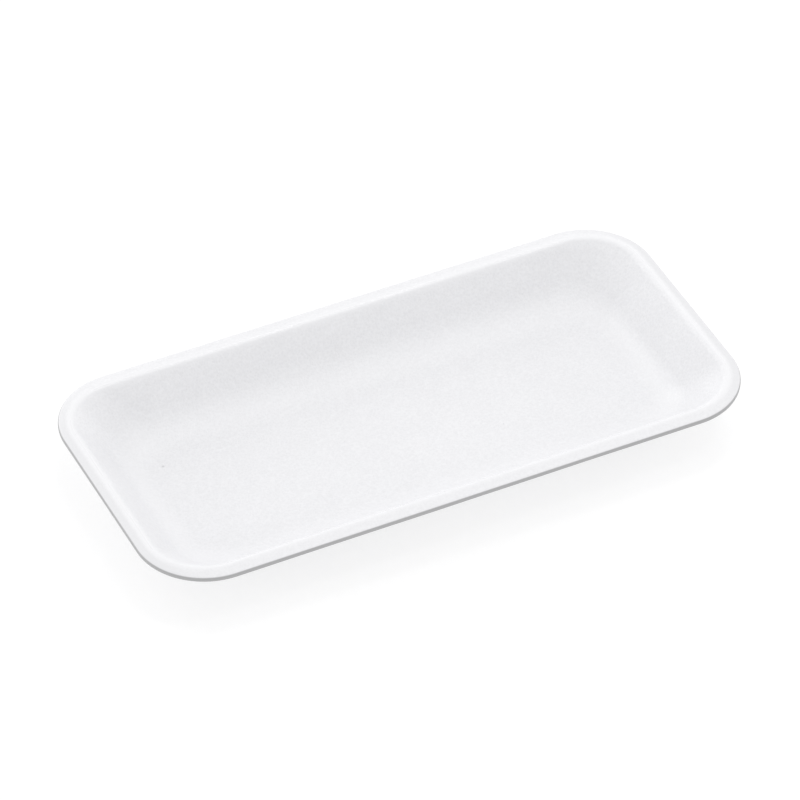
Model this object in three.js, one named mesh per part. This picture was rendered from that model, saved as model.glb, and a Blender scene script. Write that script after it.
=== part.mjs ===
// A shallow foam food tray: a long rounded rectangle pressed from one sheet of white foam.
// The sheet runs flat across the floor, sweeps up a wide curve into sloping walls, turns over
// a soft ridge and ends in a narrow lip whose cut edge is rounded.
// Millimetres, +Z up, +X along the tray. The origin is the middle of the face it rests on.

import * as THREE from "three";

// Overall size, over the edge of the lip and from the resting face to the top of the ridge
const LENGTH = 270;
const WIDTH = 133;
const HEIGHT = 25;

// Corners seen from above: their radius at the lip's edge and at the edge of the flat floor
const CORNER_RADIUS = 30;
const FLOOR_CORNER_RADIUS = 12.5;

// The foam sheet, and the thinner lip where the mould nips it
const SHEET_THICKNESS = 4;
const LIP_THICKNESS = 2.5;

// Wall: its slope above level, and the curve that joins it to the floor, which is wider along
// the sides than at the ends
const WALL_SLOPE = THREE.MathUtils.degToRad(50);
const SIDE_CURVE_RADIUS = 28;
const END_CURVE_RADIUS = 19;

// Ridge and lip: the lip falls away outwards from the ridge
const RIDGE_RADIUS = 3.4;
const RIDGE_INSET = 5.2;
const LIP_SLOPE = THREE.MathUtils.degToRad(10);
const LIP_EDGE_RADIUS = 1;
const LIP_ROOT_RADIUS = 1.2;

// Steps along each curve of the section, and round each corner of the tray
const FLOOR_CURVE_STEPS = 9;
const RIDGE_STEPS = 7;
const LIP_EDGE_STEPS = 4;
const LIP_ROOT_STEPS = 4;
const CORNER_STEPS = 12;

// A point or direction of the section: x is the inset from the tray's outermost edge, y the
// height.
const point = (inset, height) => new THREE.Vector2(inset, height);

// Where two lines cross, each given by a point on it and a direction.
function crossing(pointA, directionA, pointB, directionB) {
  const between = pointB.clone().sub(pointA);
  const along = between.cross(directionB) / directionA.cross(directionB);
  return pointA.clone().addScaledVector(directionA, along);
}

// The rounded corner at `corner`, on the way from `before` to `after`, as points on an arc.
function roundedCorner(before, corner, after, radius, steps) {
  const back = before.clone().sub(corner).normalize();
  const onward = after.clone().sub(corner).normalize();
  const halfAngle = Math.acos(back.dot(onward)) / 2;
  const middle = back.clone().add(onward).normalize();
  const centre = corner.clone().addScaledVector(middle, radius / Math.sin(halfAngle));
  const start = corner.clone().addScaledVector(back, radius / Math.tan(halfAngle)).sub(centre);
  const turn = Math.sign(back.cross(onward)) * -(Math.PI - 2 * halfAngle);
  const points = [];
  for (let step = 0; step <= steps; step += 1) {
    points.push(start.clone().rotateAround(point(0, 0), (turn * step) / steps).add(centre));
  }
  return points;
}

// The corner radius of the inside face. From the lip's edge to the top of the wall the corners
// are concentric, and from there down they tighten towards the edge of the floor.
function insideCornerRadius(inset, wallTop, floorEdge) {
  const concentric = CORNER_RADIUS - Math.min(inset, wallTop);
  const wayDown = THREE.MathUtils.clamp((inset - wallTop) / (floorEdge - wallTop), 0, 1);
  return THREE.MathUtils.lerp(concentric, FLOOR_CORNER_RADIUS, wayDown ** 2);
}

// The sheet's section from the edge of the floor, up the inside, over the ridge, round the edge
// of the lip and back under the outside, with a floor curve of the given radius. Each point is
// an inset, a height and a corner radius. Outside, the corners keep the sheet's thickness.
function sectionPoints(curveRadius) {
  const wallUp = point(-Math.cos(WALL_SLOPE), Math.sin(WALL_SLOPE));
  const wallNormal = point(Math.sin(WALL_SLOPE), Math.cos(WALL_SLOPE));
  const lipOut = point(-Math.cos(LIP_SLOPE), -Math.sin(LIP_SLOPE));
  const lipNormal = point(-Math.sin(LIP_SLOPE), Math.cos(LIP_SLOPE));
  const level = point(1, 0);
  const upright = point(0, 1);

  const ridgeCentre = point(RIDGE_INSET, HEIGHT - RIDGE_RADIUS);
  const insideWall = ridgeCentre.clone().addScaledVector(wallNormal, RIDGE_RADIUS);
  const lipTop = ridgeCentre.clone().addScaledVector(lipNormal, RIDGE_RADIUS);
  const outsideWall = insideWall.clone().addScaledVector(wallNormal, -SHEET_THICKNESS);
  const lipUnderside = lipTop.clone().addScaledVector(lipNormal, -LIP_THICKNESS);

  const floorTop = point(WIDTH / 2, SHEET_THICKNESS);
  const floorUnder = point(WIDTH / 2, 0);
  const floorCorner = crossing(floorTop, level, insideWall, wallUp);
  const ridgeCorner = crossing(insideWall, wallUp, lipTop, lipOut);
  const edgeTop = crossing(point(0, 0), upright, lipTop, lipOut);
  const edgeUnder = crossing(point(0, 0), upright, lipUnderside, lipOut);
  const lipRoot = crossing(lipUnderside, lipOut, outsideWall, wallUp);
  const baseCorner = crossing(floorUnder, level, outsideWall, wallUp);

  const floorCurve = roundedCorner(
    floorTop, floorCorner, ridgeCorner, curveRadius, FLOOR_CURVE_STEPS,
  );
  const brim = [
    ...roundedCorner(floorCorner, ridgeCorner, edgeTop, RIDGE_RADIUS, RIDGE_STEPS),
    ...roundedCorner(ridgeCorner, edgeTop, edgeUnder, LIP_EDGE_RADIUS, LIP_EDGE_STEPS),
    ...roundedCorner(edgeTop, edgeUnder, lipRoot, LIP_EDGE_RADIUS, LIP_EDGE_STEPS),
    ...roundedCorner(edgeUnder, lipRoot, baseCorner, LIP_ROOT_RADIUS, LIP_ROOT_STEPS),
  ];
  const baseCurve = roundedCorner(
    lipRoot, baseCorner, floorUnder, curveRadius + SHEET_THICKNESS, FLOOR_CURVE_STEPS,
  );

  const insideRadius = (inset) => insideCornerRadius(inset, insideWall.x, floorCurve[0].x);
  const outsideRadius = (inset, step) => {
    const inside = floorCurve[FLOOR_CURVE_STEPS - step].x;
    return insideRadius(inside) + inside - inset;
  };
  return [
    ...floorCurve.map(({ x, y }) => new THREE.Vector3(x, y, insideRadius(x))),
    ...brim.map(({ x, y }) => new THREE.Vector3(x, y, insideRadius(x))),
    ...baseCurve.map(({ x, y }, step) => new THREE.Vector3(x, y, outsideRadius(x, step))),
  ];
}

// The tray's outline at one point of the section: a rounded rectangle, counter-clockwise. Each
// corner passes smoothly from the section of the ends to the section of the sides.
function outlineRing(sidePoint, endPoint) {
  const quarter = Math.PI / 2;
  const ring = [];
  [[1, 1], [-1, 1], [-1, -1], [1, -1]].forEach(([signX, signY], corner) => {
    for (let step = 0; step <= CORNER_STEPS; step += 1) {
      const angle = quarter * (corner + step / CORNER_STEPS);
      const endShare = Math.cos(angle) ** 2;
      const { x: inset, y: height, z: radius } = sidePoint.clone().lerp(endPoint, endShare);
      const x = signX * (LENGTH / 2 - inset - radius) + radius * Math.cos(angle);
      const y = signY * (WIDTH / 2 - inset - radius) + radius * Math.sin(angle);
      ring.push(new THREE.Vector3(x, y, height));
    }
  });
  return ring;
}

// One closed skin through the rings, from the floor's top face to its underside.
function trayGeometry() {
  const endSection = sectionPoints(END_CURVE_RADIUS);
  const rings = sectionPoints(SIDE_CURVE_RADIUS).map((sidePoint, index) => (
    outlineRing(sidePoint, endSection[index])
  ));
  const count = rings[0].length;
  const indices = [];
  for (let ring = 0; ring < rings.length - 1; ring += 1) {
    for (let step = 0; step < count; step += 1) {
      const next = (step + 1) % count;
      const here = ring * count;
      const beyond = here + count;
      indices.push(here + step, beyond + step, here + next);
      indices.push(here + next, beyond + step, beyond + next);
    }
  }
  const flat = rings[0].map(({ x, y }) => point(x, y));
  const lastRing = (rings.length - 1) * count;
  for (const [a, b, c] of THREE.ShapeUtils.triangulateShape(flat, [])) {
    indices.push(a, b, c);
    indices.push(lastRing + c, lastRing + b, lastRing + a);
  }
  const geometry = new THREE.BufferGeometry().setFromPoints(rings.flat());
  geometry.setIndex(indices);
  geometry.computeVertexNormals();
  return geometry;
}

const foam = new THREE.MeshStandardMaterial({ color: 0xf2f2f4, roughness: 0.55, metalness: 0 });

const tray = new THREE.Mesh(trayGeometry(), foam);
tray.name = "tray";

const foodTray = new THREE.Group();
foodTray.add(tray);

export default foodTray;
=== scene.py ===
"""A white foam food tray on a pale studio floor.

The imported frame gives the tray's solid. This scene replaces it with a finely meshed skin of the
same sizes, and gives that skin the look of pressed foam sheet. Lengths are in metres, +Z is up
and +X runs along the tray.
"""

import logging
import math
from dataclasses import dataclass
from enum import Enum

import bmesh
import bpy
import numpy as np
from mathutils import Matrix, Vector


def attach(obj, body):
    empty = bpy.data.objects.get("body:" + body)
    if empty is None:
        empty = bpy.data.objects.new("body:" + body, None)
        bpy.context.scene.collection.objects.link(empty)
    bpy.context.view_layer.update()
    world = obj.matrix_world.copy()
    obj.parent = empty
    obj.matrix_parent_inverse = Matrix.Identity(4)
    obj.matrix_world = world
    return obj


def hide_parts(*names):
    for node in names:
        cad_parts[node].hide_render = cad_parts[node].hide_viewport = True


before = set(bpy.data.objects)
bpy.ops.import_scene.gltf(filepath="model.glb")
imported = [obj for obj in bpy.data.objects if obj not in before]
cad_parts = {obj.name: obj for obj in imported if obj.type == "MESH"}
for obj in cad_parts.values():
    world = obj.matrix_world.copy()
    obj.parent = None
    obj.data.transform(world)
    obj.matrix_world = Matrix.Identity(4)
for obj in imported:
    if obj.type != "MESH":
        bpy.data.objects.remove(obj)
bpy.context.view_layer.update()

log = logging.getLogger("food_tray")

Colour = tuple[float, float, float]
Place = tuple[float, float, float]
Socket = bpy.types.NodeSocket


class Share(Enum):
    """Marks kept on the skin as a share from 0 to 1: gloss with a painted highlight, and painted
    shade.
    """

    PAINTED_HIGHLIGHT = "painted_highlight"
    LIP_SHADE = "lip_shade"
    CUT = "edge_shade"


def smooth_step(share: np.ndarray) -> np.ndarray:
    """Ease a share from 0 to 1 with level ends: 3s^2 - 2s^3.

    Args:
        share: The shares to ease, which are first held between 0 and 1.

    Returns:
        The eased shares.
    """
    held = np.clip(share, 0.0, 1.0)
    return held * held * (3.0 - 2.0 * held)


def line_meeting(
    start_a: np.ndarray, way_a: np.ndarray, start_b: np.ndarray, way_b: np.ndarray
) -> np.ndarray:
    """Find where two lines of the section cross.

    Line a is start_a + t * way_a, and t is (start_b - start_a) x way_b over way_a x way_b.

    Args:
        start_a: A point on the first line.
        way_a: The first line's direction.
        start_b: A point on the second line.
        way_b: The second line's direction.

    Returns:
        The point that both lines share.
    """
    gap = start_b - start_a
    along = (gap[0] * way_b[1] - gap[1] * way_b[0]) / (way_a[0] * way_b[1] - way_a[1] * way_b[0])
    return start_a + way_a * along


def rounded_bend(
    before: np.ndarray, corner: np.ndarray, after: np.ndarray, radius: float, steps: int
) -> np.ndarray:
    """Round off a corner of the section with an arc that touches both of its sides.

    With a the half angle of the corner, the arc's centre lies radius / sin(a) from the corner on
    its bisector, its start lies radius / tan(a) back along the first side, and it turns by
    pi - 2a about the centre.

    Args:
        before: A point on the side that comes in.
        corner: The sharp corner.
        after: A point on the side that goes out.
        radius: The arc's radius.
        steps: The number of equal turns that the arc is cut into.

    Returns:
        The arc's points, as rows of inset and height.
    """
    back = (before - corner) / np.linalg.norm(before - corner)
    onward = (after - corner) / np.linalg.norm(after - corner)
    half_angle = np.arccos(back @ onward) / 2.0
    middle = (back + onward) / np.linalg.norm(back + onward)
    centre = corner + middle * radius / np.sin(half_angle)
    spoke = corner + back * radius / np.tan(half_angle) - centre
    side = np.sign(back[0] * onward[1] - back[1] * onward[0])
    turn = -side * (np.pi - 2.0 * half_angle) * np.linspace(0.0, 1.0, steps + 1)
    inset = centre[0] + spoke[0] * np.cos(turn) - spoke[1] * np.sin(turn)
    height = centre[1] + spoke[0] * np.sin(turn) + spoke[1] * np.cos(turn)
    return np.column_stack([inset, height])


def straight_run(start: np.ndarray, end: np.ndarray, steps: int) -> np.ndarray:
    """Cut a straight run into equal steps, without its two ends.

    Point k is start + (end - start) * k / steps.

    Args:
        start: The run's first point.
        end: The run's last point.
        steps: The number of steps.

    Returns:
        The points between the two ends.
    """
    share = np.linspace(0.0, 1.0, steps + 1)[1:-1, None]
    return start + (end - start) * share


@dataclass(frozen=True)
class WallSection:
    """An upright cut through the tray's side, from the floor's top face round to its underside.

    Going along it, the sheet curves up off the floor, climbs the wall, turns over the ridge, runs
    down the lip, goes round the lip's edge, and comes back under the outside. An inset is how far
    in from the tray's outermost edge a place is, and reach is the inset of its middle line. A
    painted highlight lies in a band about the ridge's crest and in another along the floor's curve,
    painted shade lies on the lip outside the crest, and darker painted shade lies on the lip's
    edge.
    """

    reach: float = 0.0665
    height: float = 0.025
    sheet: float = 0.004
    lip_sheet: float = 0.0025
    wall_slope: float = math.radians(50.0)
    floor_curve: float = 0.028
    ridge_radius: float = 0.0034
    ridge_inset: float = 0.0052
    lip_slope: float = math.radians(10.0)
    lip_edge_radius: float = 0.001
    lip_root_radius: float = 0.0012
    edge_corner: float = 0.030
    floor_corner: float = 0.0125
    # The next fields place a painted highlight about the crest and along the floor's curve, painted
    # shade on the lip, and darker painted shade on the lip's edge.
    crest_inset: float = 0.0065
    crest_half_width: float = 0.0030
    bend_highlight: float = 0.3
    lip_shade_share: float = 0.15
    lip_shade_fade: float = 0.0014
    edge_shade_inset: float = 0.00015
    edge_shade_fade: float = 0.00035
    curve_steps: int = 24
    wall_steps: int = 10
    ridge_steps: int = 18
    lip_steps: int = 6
    edge_steps: int = 7

    def inside_corner(self, inset: np.ndarray, wall_top: float, floor_edge: float) -> np.ndarray:
        """Give the radius of the tray's corners on the inside face.

        From the lip's edge to the wall's top the corners are concentric, so it is edge_corner
        less the inset. From there it closes in on floor_corner with the square of the way down.

        Args:
            inset: How far in from the tray's outermost edge each point stands.
            wall_top: The inset of the wall's top.
            floor_edge: The inset of the flat floor's edge.

        Returns:
            The corner radius at each point.
        """
        concentric = self.edge_corner - np.minimum(inset, wall_top)
        way_down = np.clip((inset - wall_top) / (floor_edge - wall_top), 0.0, 1.0)
        return concentric + (self.floor_corner - concentric) * way_down**2

    def runs(self) -> tuple[np.ndarray, np.ndarray, np.ndarray, np.ndarray]:
        """Work out the section as four runs that follow each other.

        Six arcs of rounded_bend are joined by straight runs. The corners that they round off are
        where the straight lines of the floor, the wall, the lip and the lip's edge cross.

        Returns:
            The inside face from the floor's edge to the wall's top, the top face over the ridge
            and down the lip, the brim from there round the edge and back under, and the outside
            face down to the underside. Each has rows of inset and height.
        """
        wall_up = np.array([-math.cos(self.wall_slope), math.sin(self.wall_slope)])
        wall_normal = np.array([math.sin(self.wall_slope), math.cos(self.wall_slope)])
        lip_out = np.array([-math.cos(self.lip_slope), -math.sin(self.lip_slope)])
        lip_normal = np.array([-math.sin(self.lip_slope), math.cos(self.lip_slope)])
        level, upright, edge = np.array([1.0, 0.0]), np.array([0.0, 1.0]), np.zeros(2)

        ridge_centre = np.array([self.ridge_inset, self.height - self.ridge_radius])
        wall_inside = ridge_centre + wall_normal * self.ridge_radius
        lip_top = ridge_centre + lip_normal * self.ridge_radius
        wall_outside = wall_inside - wall_normal * self.sheet
        lip_under = lip_top - lip_normal * self.lip_sheet
        floor_top, floor_under = np.array([self.reach, self.sheet]), np.array([self.reach, 0.0])

        floor_corner = line_meeting(floor_top, level, wall_inside, wall_up)
        ridge_corner = line_meeting(wall_inside, wall_up, lip_top, lip_out)
        edge_top = line_meeting(edge, upright, lip_top, lip_out)
        edge_under = line_meeting(edge, upright, lip_under, lip_out)
        lip_root = line_meeting(lip_under, lip_out, wall_outside, wall_up)
        base_corner = line_meeting(floor_under, level, wall_outside, wall_up)

        curve = rounded_bend(
            floor_top, floor_corner, ridge_corner, self.floor_curve, self.curve_steps
        )
        ridge = rounded_bend(
            floor_corner, ridge_corner, edge_top, self.ridge_radius, self.ridge_steps
        )
        nose = rounded_bend(
            ridge_corner, edge_top, edge_under, self.lip_edge_radius, self.edge_steps
        )
        chin = rounded_bend(edge_top, edge_under, lip_root, self.lip_edge_radius, self.edge_steps)
        root = rounded_bend(
            edge_under, lip_root, base_corner, self.lip_root_radius, self.edge_steps
        )
        base_radius = self.floor_curve + self.sheet
        base = rounded_bend(lip_root, base_corner, floor_under, base_radius, self.curve_steps)

        wall_face = straight_run(curve[-1], ridge[0], self.wall_steps)
        lip_face = straight_run(ridge[-1], nose[0], self.lip_steps)
        lip_back = straight_run(chin[-1], root[0], self.lip_steps)
        wall_back = straight_run(root[-1], base[0], self.wall_steps)
        inside = np.vstack([curve, wall_face, ridge[:1]])
        top_face = np.vstack([ridge[1:], lip_face, nose[:1]])
        brim = np.vstack([nose[1:], chin, lip_back, root[:-1]])
        outside = np.vstack([root[-1:], wall_back, base])
        return inside, top_face, brim, outside

    def shares(self, inset: np.ndarray, top_count: int) -> np.ndarray:
        """Give the section's shares of painted highlight and of painted shade.

        The painted highlight falls off smoothly on both sides of the crest, on the top face only,
        and on both sides of the middle of the floor's curve. The painted shade on the lip sets in
        outside the crest, and the darker painted shade is on the lip's edge.

        Args:
            inset: The inset of each point.
            top_count: How many of the points, from the first, are on the faces that look up.

        Returns:
            One column for each Share.
        """
        on_top = np.arange(len(inset)) < top_count
        # Painted highlight about the crest and along the floor's curve.
        from_crest = np.abs(inset - self.crest_inset) / self.crest_half_width
        painted_highlight = (1.0 - smooth_step(from_crest)) * on_top
        from_bend = np.abs(np.linspace(-1.0, 1.0, self.curve_steps + 1))
        painted_highlight[:self.curve_steps + 1] = self.bend_highlight * (1.0 - smooth_step(from_bend))
        # Painted shade on the lip outside the crest.
        past_crest = self.crest_inset - self.crest_half_width / 2.0 - inset
        lip_shade = self.lip_shade_share * smooth_step(past_crest / self.lip_shade_fade)
        # Painted shade on the lip's edge.
        edge_shade = 1.0 - smooth_step((inset - self.edge_shade_inset) / self.edge_shade_fade)
        return np.column_stack([painted_highlight, lip_shade, edge_shade])

    def points(self) -> np.ndarray:
        """Put the section together.

        On the outside, the wall and the curve under it keep the sheet's thickness from the inside
        face, so their corner radius is the inside one grown by the same distance.

        Returns:
            Rows of inset, height, corner radius and the shares.
        """
        inside, top_face, brim, outside = self.runs()
        before = np.vstack([inside, top_face, brim])
        before_radius = self.inside_corner(before[:, 0], inside[-1, 0], inside[0, 0])
        grown = before_radius[:len(inside)] + inside[:, 0]
        outside_radius = grown[::-1] - outside[:, 0]

        places = np.vstack([before, outside])
        radius = np.concatenate([before_radius, outside_radius])
        shares = self.shares(places[:, 0], len(inside) + len(top_face))
        return np.column_stack([places, radius, shares])


@dataclass(frozen=True)
class Wave:
    """One slow ripple that the hot sheet keeps: lift * sin(2 pi (along x + across y) + start)."""

    lift: float
    along: float
    across: float
    start: float


@dataclass(frozen=True)
class TrayShell:
    """The whole tray as one closed skin of pressed foam sheet."""

    length: float = 0.270
    width: float = 0.133
    side: WallSection = WallSection()
    # The ends get more painted highlight along the floor's curve and more painted shade on the lip
    # than the long sides.
    end: WallSection = WallSection(
        floor_curve=0.019,
        crest_inset=0.0051,
        crest_half_width=0.0022,
        bend_highlight=0.5,
        lip_shade_share=1.0,
    )
    corner_steps: int = 26
    side_steps: int = 60
    end_steps: int = 22
    floor_rings: int = 14
    calm_rim: float = 0.004
    weld_gap: float = 1e-6
    waves: tuple[Wave, ...] = (
        Wave(0.00005, 9.0, 4.0, 0.3),
        Wave(0.00004, -6.0, 13.0, 1.9),
        Wave(0.00003, 17.0, -9.0, 4.1),
        Wave(0.00002, 23.0, 19.0, 2.2),
    )

    def stations(self) -> tuple[np.ndarray, np.ndarray, np.ndarray]:
        """Lay out the stations round the tray, counter-clockwise from the corner at +X, +Y.

        A station has a share of the corner centres' place along X and along Y, each from -1 to 1,
        and the heading of its arm from there. The heading turns by a quarter at each corner and
        holds still on the straight runs between them, where one of the shares moves instead. The
        second half of the way round is the first turned by half a turn.

        Returns:
            The shares along X, the shares along Y, and the headings in radians.
        """
        quarter = np.linspace(0.0, np.pi / 2.0, self.corner_steps + 1)
        still = np.zeros_like(quarter)
        side_run = np.linspace(1.0, -1.0, self.side_steps + 1)[1:-1]
        end_run = np.linspace(1.0, -1.0, self.end_steps + 1)[1:-1]
        side_still, end_still = np.zeros_like(side_run), np.zeros_like(end_run)
        along = np.concatenate([still + 1, side_run, still - 1, end_still - 1])
        across = np.concatenate([still + 1, side_still + 1, still + 1, end_run])
        heading = np.concatenate(
            [quarter, side_still + np.pi / 2.0, quarter + np.pi / 2.0, end_still + np.pi]
        )
        along = np.concatenate([along, -along])
        across = np.concatenate([across, -across])
        heading = np.concatenate([heading, heading + np.pi])
        return along, across, heading

    def wall_grid(self) -> np.ndarray:
        """Carry the section round the tray.

        With c the heading's cosine squared, a station's section is the side's section times
        1 - c plus the end's section times c. Its point is at x = along * (length / 2 - inset -
        radius) + radius * cos(heading), and likewise in y, at the section's height.

        Returns:
            An array of section points by stations, each with x, y, z and the section's shares.
        """
        along, across, heading = self.stations()
        share = np.cos(heading)[None, :, None] ** 2
        side, end = self.side.points()[:, None, :], self.end.points()[:, None, :]
        mixed = side * (1.0 - share) + end * share
        inset, height, radius = np.moveaxis(mixed[..., :3], 2, 0)
        x = along * (self.length / 2.0 - inset - radius) + radius * np.cos(heading)
        y = across * (self.width / 2.0 - inset - radius) + radius * np.sin(heading)
        return np.concatenate([np.stack([x, y, height], axis=2), mixed[..., 3:]], axis=2)

    def floor_grid(self, ring: np.ndarray) -> np.ndarray:
        """Fill the flat floor inside a ring with smaller rings down to a line along its middle.

        A point is ring + (line - ring) * s, where the line's point has the ring's share along X
        of half the line's length, and s goes from 1 on the line to 0 on the ring.

        Args:
            ring: The floor's edge, one row a station.

        Returns:
            The rings from the middle line outwards, without the edge itself.
        """
        along, _, _ = self.stations()
        half_line = ring[:, 0].max() - ring[:, 1].max()
        line = np.column_stack([along * half_line, along * 0.0, ring[:, 2:]])
        share = np.linspace(1.0, 0.0, self.floor_rings + 1)[:-1, None, None]
        return ring[None] + (line - ring)[None] * share

    def ripple(self, x: np.ndarray, y: np.ndarray) -> np.ndarray:
        """Add up the slow waves of the sheet at each place.

        Args:
            x: Places along the tray.
            y: Places across it.

        Returns:
            The lift of the sheet at each place.
        """
        lift = np.zeros_like(x)
        for wave in self.waves:
            turns = wave.along * x + wave.across * y
            lift += wave.lift * np.sin(2.0 * np.pi * turns + wave.start)
        return lift

    def build(self, name: str) -> bpy.types.Object:
        """Make the tray's mesh.

        The rings of the floor, the wall and the underside follow each other in one grid, which is
        closed round the tray and merged along the floor's middle line. The ripples die out at the
        resting face and at the ridge, which stay level.

        Args:
            name: The new object's name.

        Returns:
            The tray, with the section's shares kept as point attributes.
        """
        wall = self.wall_grid()
        grid = np.concatenate([self.floor_grid(wall[0]), wall, self.floor_grid(wall[-1])[::-1]])
        rows, count = grid.shape[:2]
        places = grid[..., :3].reshape(-1, 3).copy()
        over_table = smooth_step(places[:, 2] / self.side.sheet)
        below_rim = smooth_step((self.side.height - places[:, 2]) / self.calm_rim)
        places[:, 2] += self.ripple(places[:, 0], places[:, 1]) * over_table * below_rim

        row = np.arange(rows - 1)[:, None] * count
        here, following = np.arange(count)[None, :], (np.arange(count)[None, :] + 1) % count
        corners = (row + here, row + count + here, row + count + following, row + following)
        quads = np.stack(corners, axis=-1).reshape(-1, 4)

        mesh = bpy.data.meshes.new(name)
        mesh.from_pydata(places.tolist(), [], quads.tolist())
        for share, values in zip(Share, np.moveaxis(grid[..., 3:], 2, 0)):
            attribute = mesh.attributes.new(share.value, "FLOAT", "POINT")
            attribute.data.foreach_set("value", values.astype(np.float32).ravel())
        welded = bmesh.new()
        welded.from_mesh(mesh)
        bmesh.ops.remove_doubles(welded, verts=welded.verts[:], dist=self.weld_gap)
        welded.to_mesh(mesh)
        welded.free()
        mesh.polygons.foreach_set("use_smooth", np.ones(len(mesh.polygons), dtype=bool))
        mesh.update()
        tray = bpy.data.objects.new(name, mesh)
        bpy.context.scene.collection.objects.link(tray)
        return tray


@dataclass(frozen=True)
class Grain:
    """One soft noise in the foam: the size of its lumps, and how many finer noises it holds."""

    size: float
    detail: float


class NodeSheet:
    """The node tree of one material, with short calls to add and join nodes."""

    def __init__(self, name: str) -> None:
        """Start a material with an empty node tree.

        Args:
            name: The material's name.
        """
        self.material = bpy.data.materials.new(name)
        self.material.use_nodes = True
        self.tree = self.material.node_tree
        self.tree.nodes.clear()

    def add(self, kind: str, **sockets: object) -> bpy.types.Node:
        """Add a node and fill its sockets.

        Args:
            kind: The node's type name, without the leading ShaderNode.
            **sockets: Values or output sockets, by input name with underscores for spaces.

        Returns:
            The new node.
        """
        node = self.tree.nodes.new("ShaderNode" + kind)
        for name, value in sockets.items():
            self.fill(node.inputs[name.replace("_", " ")], value)
        return node

    def fill(self, socket: Socket, value: object) -> None:
        """Join an output to a socket, or set the socket's own value.

        Args:
            socket: The input to fill.
            value: An output socket, or a plain value.
        """
        if isinstance(value, Socket):
            self.tree.links.new(value, socket)
        else:
            socket.default_value = value

    def math(self, operation: str, first: object, second: object = 0.0) -> Socket:
        """Work out one sum with a Math node.

        Args:
            operation: The node's operation.
            first: Its first value or socket.
            second: Its second value or socket.

        Returns:
            The result's socket.
        """
        node = self.tree.nodes.new("ShaderNodeMath")
        node.operation = operation
        self.fill(node.inputs[0], first)
        self.fill(node.inputs[1], second)
        return node.outputs[0]

    def span(self, value: object, low: float, high: float, to_low: float, to_high: float) -> Socket:
        """Carry a value from one span of numbers to another, held inside it.

        Args:
            value: The socket to read.
            low: Where the first span starts.
            high: Where it ends.
            to_low: What the start becomes.
            to_high: What the end becomes.

        Returns:
            The result's socket.
        """
        node = self.add("MapRange", Value=value, From_Min=low, From_Max=high)
        self.fill(node.inputs["To Min"], to_low)
        self.fill(node.inputs["To Max"], to_high)
        return node.outputs["Result"]

    def noise(self, place: Socket, grain: Grain) -> Socket:
        """Add a soft noise.

        Args:
            place: The coordinates that it follows.
            grain: Its size and detail.

        Returns:
            The noise's socket, from 0 to 1.
        """
        node = self.add("TexNoise", Vector=place, Scale=1.0 / grain.size, Detail=grain.detail)
        return node.outputs["Fac"]

    def blend(self, share: object, first: Socket | Colour, second: Colour) -> Socket:
        """Mix a colour into another.

        Args:
            share: How much of the second colour there is.
            first: The first colour, plain or as a socket.
            second: The second colour.

        Returns:
            The mixed colour's socket.
        """
        node = self.tree.nodes.new("ShaderNodeMix")
        node.data_type = "RGBA"
        # A Mix node's sockets for plain numbers and vectors come before its colour ones
        self.fill(node.inputs[0], share)
        self.fill(node.inputs[6], first if isinstance(first, Socket) else (*first, 1.0))
        self.fill(node.inputs[7], (*second, 1.0))
        return node.outputs[2]

    def read(self, share: Share) -> Socket:
        """Read one of the skin's shares.

        Args:
            share: Which one.

        Returns:
            The share's socket.
        """
        node = self.tree.nodes.new("ShaderNodeAttribute")
        node.attribute_name = share.value
        return node.outputs["Fac"]

    def complete(self, surface: bpy.types.Node) -> bpy.types.Material:
        """Join the last shader to the output.

        Args:
            surface: The shader's node.

        Returns:
            The finished material.
        """
        self.add("OutputMaterial", Surface=surface.outputs[0])
        return self.material


@dataclass(frozen=True)
class Pit:
    """A burst cell in the skin: its place on the tray and its radius."""

    place: Place
    radius: float


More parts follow.
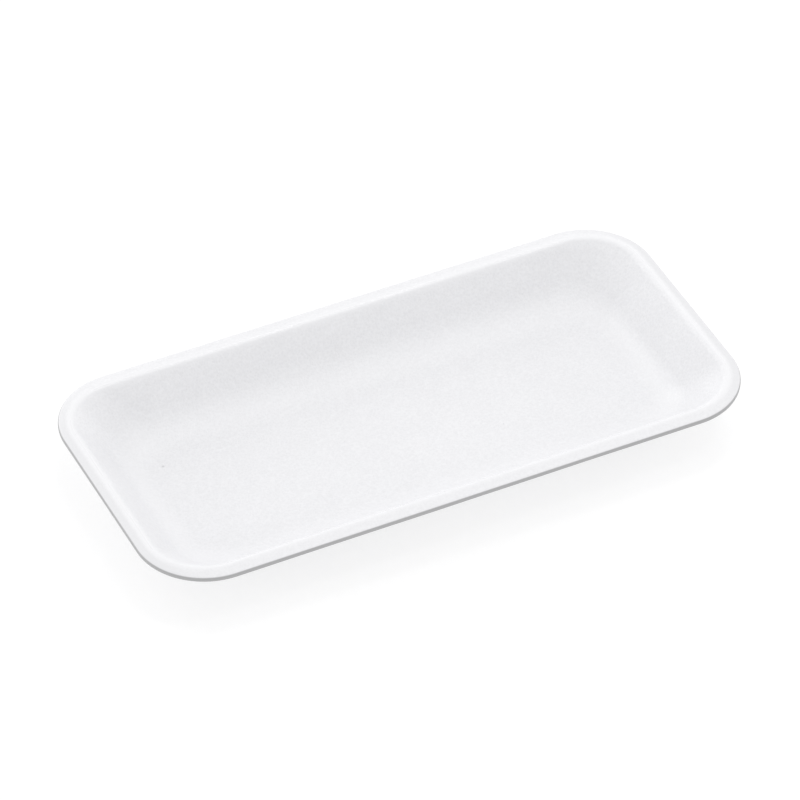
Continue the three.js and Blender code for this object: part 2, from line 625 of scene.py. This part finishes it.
@dataclass(frozen=True)
class FoamFinish:
    """White extruded foam sheet: small closed cells under a satin skin.

    The skin is glossier about the ridge's crest, and is painted whiter there and along the floor's
    curve as a painted highlight. The lip outside the crest is painted a little greyer as painted
    shade, and the lip's edge is painted much darker than the skin as painted shade. Fine grain and
    flecks break up the cells, wide clouds vary the skin's colour and gloss, and flow streaks run
    along the tray, with streak_aspect their width over their length. The lifts and the drop are
    shares of relief_depth.
    """

    skin: Colour = (0.77, 0.77, 0.787)
    cell_wall: Colour = (0.825, 0.825, 0.842)
    # Colour of the painted highlight on the crest and along the floor's curve.
    painted_highlight: Colour = (0.85, 0.85, 0.866)
    # Colour of the painted shade on the lip.
    lip_shade: Colour = (0.76, 0.76, 0.776)
    # Colour of the painted shade on the lip's edge.
    edge_shade: Colour = (0.40, 0.40, 0.405)
    pit_colour: Colour = (0.64, 0.64, 0.65)
    cell_size: float = 0.0011
    fine: Grain = Grain(0.00035, 2.0)
    flecks: Grain = Grain(0.0017, 1.0)
    clouds: Grain = Grain(0.016, 3.0)
    streaks: Grain = Grain(0.0035, 3.0)
    streak_aspect: float = 0.22
    relief_depth: float = 0.00011
    relief_strength: float = 0.8
    cell_lift: float = 0.55
    cell_reach: float = 0.75
    fine_lift: float = 0.45
    streak_lift: float = 0.7
    pit_drop: float = 2.0
    pit_core: float = 0.4
    cloud_share: float = 0.5
    mottle_from: float = 0.7
    mottle_to: float = 1.7
    roughness: float = 0.42
    roughness_play: float = 0.06
    cloud_from: float = 0.3
    cloud_to: float = 0.7
    highlight_polish: float = 0.18
    polish_power: float = 3.0
    refraction: float = 1.59
    pits: tuple[Pit, ...] = (
        Pit((-0.0965, 0.0250, 0.004), 0.00070),
        Pit((0.0412, -0.0127, 0.004), 0.00022),
        Pit((-0.0228, 0.0061, 0.004), 0.00020),
    )

    def pit_share(self, sheet: NodeSheet, place: Socket) -> Socket:
        """Say how deep in a burst cell each point is: 1 at its middle and 0 outside its radius.

        Args:
            sheet: The material's node tree.
            place: The point's object coordinates.

        Returns:
            The share's socket.
        """
        share: object = 0.0
        for pit in self.pits:
            away = sheet.tree.nodes.new("ShaderNodeVectorMath")
            away.operation = "DISTANCE"
            sheet.fill(away.inputs[0], place)
            sheet.fill(away.inputs[1], pit.place)
            core = self.pit_core * pit.radius
            inside = sheet.span(away.outputs["Value"], core, pit.radius, 1.0, 0.0)
            share = sheet.math("MAXIMUM", share, inside)
        return share

    def relief(self, sheet: NodeSheet, place: Socket, cells: Socket, pits: Socket) -> Socket:
        """Add up the foam's relief: domed cells, fine grain and long streaks, less the pits.

        Args:
            sheet: The material's node tree.
            place: The point's object coordinates.
            cells: The distance from the middle of the nearest cell.
            pits: How deep in a pit each point is.

        Returns:
            The height's socket.
        """
        domes = sheet.span(cells, 0.0, self.cell_reach, self.cell_lift, 0.0)
        fine = sheet.math("MULTIPLY", sheet.noise(place, self.fine), self.fine_lift)
        drawn = sheet.add("Mapping", Vector=place, Scale=(self.streak_aspect, 1.0, 1.0))
        flow = sheet.noise(drawn.outputs[0], self.streaks)
        streaks = sheet.math("MULTIPLY", flow, self.streak_lift)
        raised = sheet.math("ADD", sheet.math("ADD", domes, fine), streaks)
        return sheet.math("SUBTRACT", raised, sheet.math("MULTIPLY", pits, self.pit_drop))

    def material(self, name: str) -> bpy.types.Material:
        """Build the foam.

        Args:
            name: The material's name.

        Returns:
            The finished material.
        """
        sheet = NodeSheet(name)
        place = sheet.add("TexCoord").outputs["Object"]
        voronoi = sheet.add("TexVoronoi", Vector=place, Scale=1.0 / self.cell_size)
        cells = voronoi.outputs["Distance"]
        clouds = sheet.noise(place, self.clouds)
        painted_highlight, lip_shade, edge_shade = [sheet.read(share) for share in Share]
        pits = self.pit_share(sheet, place)

        flecks = sheet.math("ADD", sheet.noise(place, self.flecks), cells)
        mottle = sheet.math("ADD", sheet.math("MULTIPLY", clouds, self.cloud_share), flecks)
        mottled = sheet.span(mottle, self.mottle_from, self.mottle_to, 0.0, 1.0)
        colour = sheet.blend(mottled, self.skin, self.cell_wall)
        # Painted shade on the lip outside the crest.
        colour = sheet.blend(lip_shade, colour, self.lip_shade)
        # Painted highlight on the crest and along the floor's curve.
        colour = sheet.blend(painted_highlight, colour, self.painted_highlight)
        # Painted shade on the lip's edge.
        colour = sheet.blend(edge_shade, colour, self.edge_shade)
        colour = sheet.blend(pits, colour, self.pit_colour)

        smoothest = self.roughness - self.roughness_play
        roughest = self.roughness + self.roughness_play
        satin = sheet.span(clouds, self.cloud_from, self.cloud_to, smoothest, roughest)
        # Where the highlight is painted, the skin is also glossier.
        highlight_gloss = sheet.math("POWER", painted_highlight, self.polish_power)
        polish = sheet.math("MULTIPLY", highlight_gloss, self.highlight_polish)
        roughness = sheet.math("SUBTRACT", satin, polish)

        bump = sheet.add("Bump", Strength=self.relief_strength, Distance=self.relief_depth)
        sheet.fill(bump.inputs["Height"], self.relief(sheet, place, cells, pits))
        surface = sheet.add("BsdfPrincipled", Base_Color=colour, Roughness=roughness)
        sheet.fill(surface.inputs["Normal"], bump.outputs[0])
        sheet.fill(surface.inputs["IOR"], self.refraction)
        return sheet.complete(surface)


@dataclass(frozen=True)
class StudioFloor:
    """The plain pale floor that the tray stands on: a matt sheet with a soft glow of its own."""

    half_side: float = 6.0
    colour: Colour = (0.48, 0.48, 0.48)
    glow: float = 0.54

    def build(self) -> bpy.types.Object:
        """Make the floor's one face and its matt paint.

        Returns:
            The floor.
        """
        side = self.half_side
        mesh = bpy.data.meshes.new("studio_floor")
        corners = [(-side, -side, 0.0), (side, -side, 0.0), (side, side, 0.0), (-side, side, 0.0)]
        mesh.from_pydata(corners, [], [(0, 1, 2, 3)])
        sheet = NodeSheet("studio_floor_paint")
        paint = sheet.add("BsdfDiffuse", Color=(*self.colour, 1.0))
        glow = sheet.add("Emission", Strength=self.glow)
        surface = sheet.tree.nodes.new("ShaderNodeAddShader")
        sheet.fill(surface.inputs[0], paint.outputs[0])
        sheet.fill(surface.inputs[1], glow.outputs[0])
        mesh.materials.append(sheet.complete(surface))
        floor = bpy.data.objects.new("studio_floor", mesh)
        bpy.context.scene.collection.objects.link(floor)
        return floor


@dataclass(frozen=True)
class SoftLamp:
    """A large round soft lamp that stands off from the tray and faces it.

    Its bearing is clockwise from +Y seen from above, and its lift is its angle above the floor,
    both in degrees. Its power is in watts.
    """

    name: str
    bearing: float
    lift: float
    power: float
    size: float = 0.9
    away: float = 2.0

    def build(self) -> bpy.types.Object:
        """Set up the lamp.

        Returns:
            The lamp.
        """
        bearing, lift = math.radians(self.bearing), math.radians(self.lift)
        flat = math.cos(lift)
        way = Vector((math.sin(bearing) * flat, math.cos(bearing) * flat, math.sin(lift)))
        light = bpy.data.lights.new(self.name, "AREA")
        light.shape = "DISK"
        light.size = self.size
        light.energy = self.power
        lamp = bpy.data.objects.new(self.name, light)
        lamp.location = way * self.away
        lamp.rotation_euler = way.to_track_quat("Z", "Y").to_euler()
        lamp.visible_camera = False
        bpy.context.scene.collection.objects.link(lamp)
        return lamp


@dataclass(frozen=True)
class Studio:
    """Soft light from all round, with lamps low behind and beside the tray and others over it."""

    sky: float = 0.89
    sky_colour: Colour = (1.0, 1.0, 1.0)
    lamps: tuple[SoftLamp, ...] = (
        SoftLamp("lamp_back_low", 0.0, 9.0, 2.3),
        SoftLamp("lamp_right_low", 72.0, 9.0, 3.6),
        SoftLamp("lamp_left_low", 288.0, 9.0, 3.3),
        SoftLamp("lamp_back", 342.0, 28.0, 3.9),
        SoftLamp("lamp_back_high", 45.0, 50.0, 1.2),
        SoftLamp("lamp_over_right", 60.0, 66.0, 1.6, 0.4),
        SoftLamp("lamp_over_front", 120.0, 66.0, 2.0, 0.4),
        SoftLamp("lamp_over", 36.0, 80.0, 1.7, 0.4),
    )

    def build(self) -> list[bpy.types.Object]:
        """Light the scene.

        Returns:
            The lamps.
        """
        world = bpy.data.worlds.new("studio_air")
        world.use_nodes = True
        air = world.node_tree.nodes["Background"]
        air.inputs["Color"].default_value = (*self.sky_colour, 1.0)
        air.inputs["Strength"].default_value = self.sky
        bpy.context.scene.world = world
        return [lamp.build() for lamp in self.lamps]


@dataclass(frozen=True)
class ViewCamera:
    """A long lens from the front left, looking down on the tray."""

    bearing: float = math.radians(-26.02)
    lift: float = math.radians(41.25)
    away: float = 2.4
    lens: float = 262.66
    sensor: float = 36.0
    farthest: float = 50.0
    slide: tuple[float, float] = (-0.000281, 0.00005)
    aim_height: float = 0.02287

    def build(self) -> bpy.types.Object:
        """Place the camera.

        With b the direction from the tray to the camera, r level to its right and u = b x r, it
        stands at away * b + slide_x * r + slide_y * u from the aimed point, and looks along -b.

        Returns:
            The camera.
        """
        flat = math.cos(self.lift)
        bearing = self.bearing
        back = Vector((math.sin(bearing) * flat, -math.cos(bearing) * flat, math.sin(self.lift)))
        right = Vector((math.cos(bearing), math.sin(bearing), 0.0))
        up = back.cross(right)
        stand = back * self.away + right * self.slide[0] + up * self.slide[1]
        camera = bpy.data.objects.new("view_camera", bpy.data.cameras.new("view_camera"))
        turned = Matrix((right, up, back)).transposed().to_4x4()
        aim = Vector((0.0, 0.0, self.aim_height))
        camera.matrix_world = Matrix.Translation(aim + stand) @ turned
        camera.data.sensor_width = self.sensor
        camera.data.lens = self.lens
        camera.data.clip_end = self.farthest
        bpy.context.scene.collection.objects.link(camera)
        bpy.context.scene.camera = camera
        return camera


@dataclass(frozen=True)
class FoodTray:
    """The whole object: the pressed shell in its foam finish."""

    shell: TrayShell = TrayShell()
    finish: FoamFinish = FoamFinish()

    def build(self) -> bpy.types.Object:
        """Make the tray, dress it and tie it to the frame.

        Returns:
            The tray.
        """
        tray = self.shell.build("foam_tray")
        tray.data.materials.append(self.finish.material("white_foam"))
        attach(tray, "root")
        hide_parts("tray")
        return tray


def main() -> None:
    """Build the scene piece by piece."""
    logging.basicConfig(level=logging.INFO, format="%(name)s: %(message)s")
    bpy.context.scene.view_settings.view_transform = "Standard"
    camera = ViewCamera().build()
    log.info("camera %s at %s", camera.name, tuple(round(value, 3) for value in camera.location))
    tray = FoodTray().build()
    log.info("piece %s, %d faces", tray.name, len(tray.data.polygons))
    floor = StudioFloor().build()
    log.info("stage %s", floor.name)
    lamps = Studio().build()
    log.info("%d lamps", len(lamps))


if __name__ == "__main__":
    main()
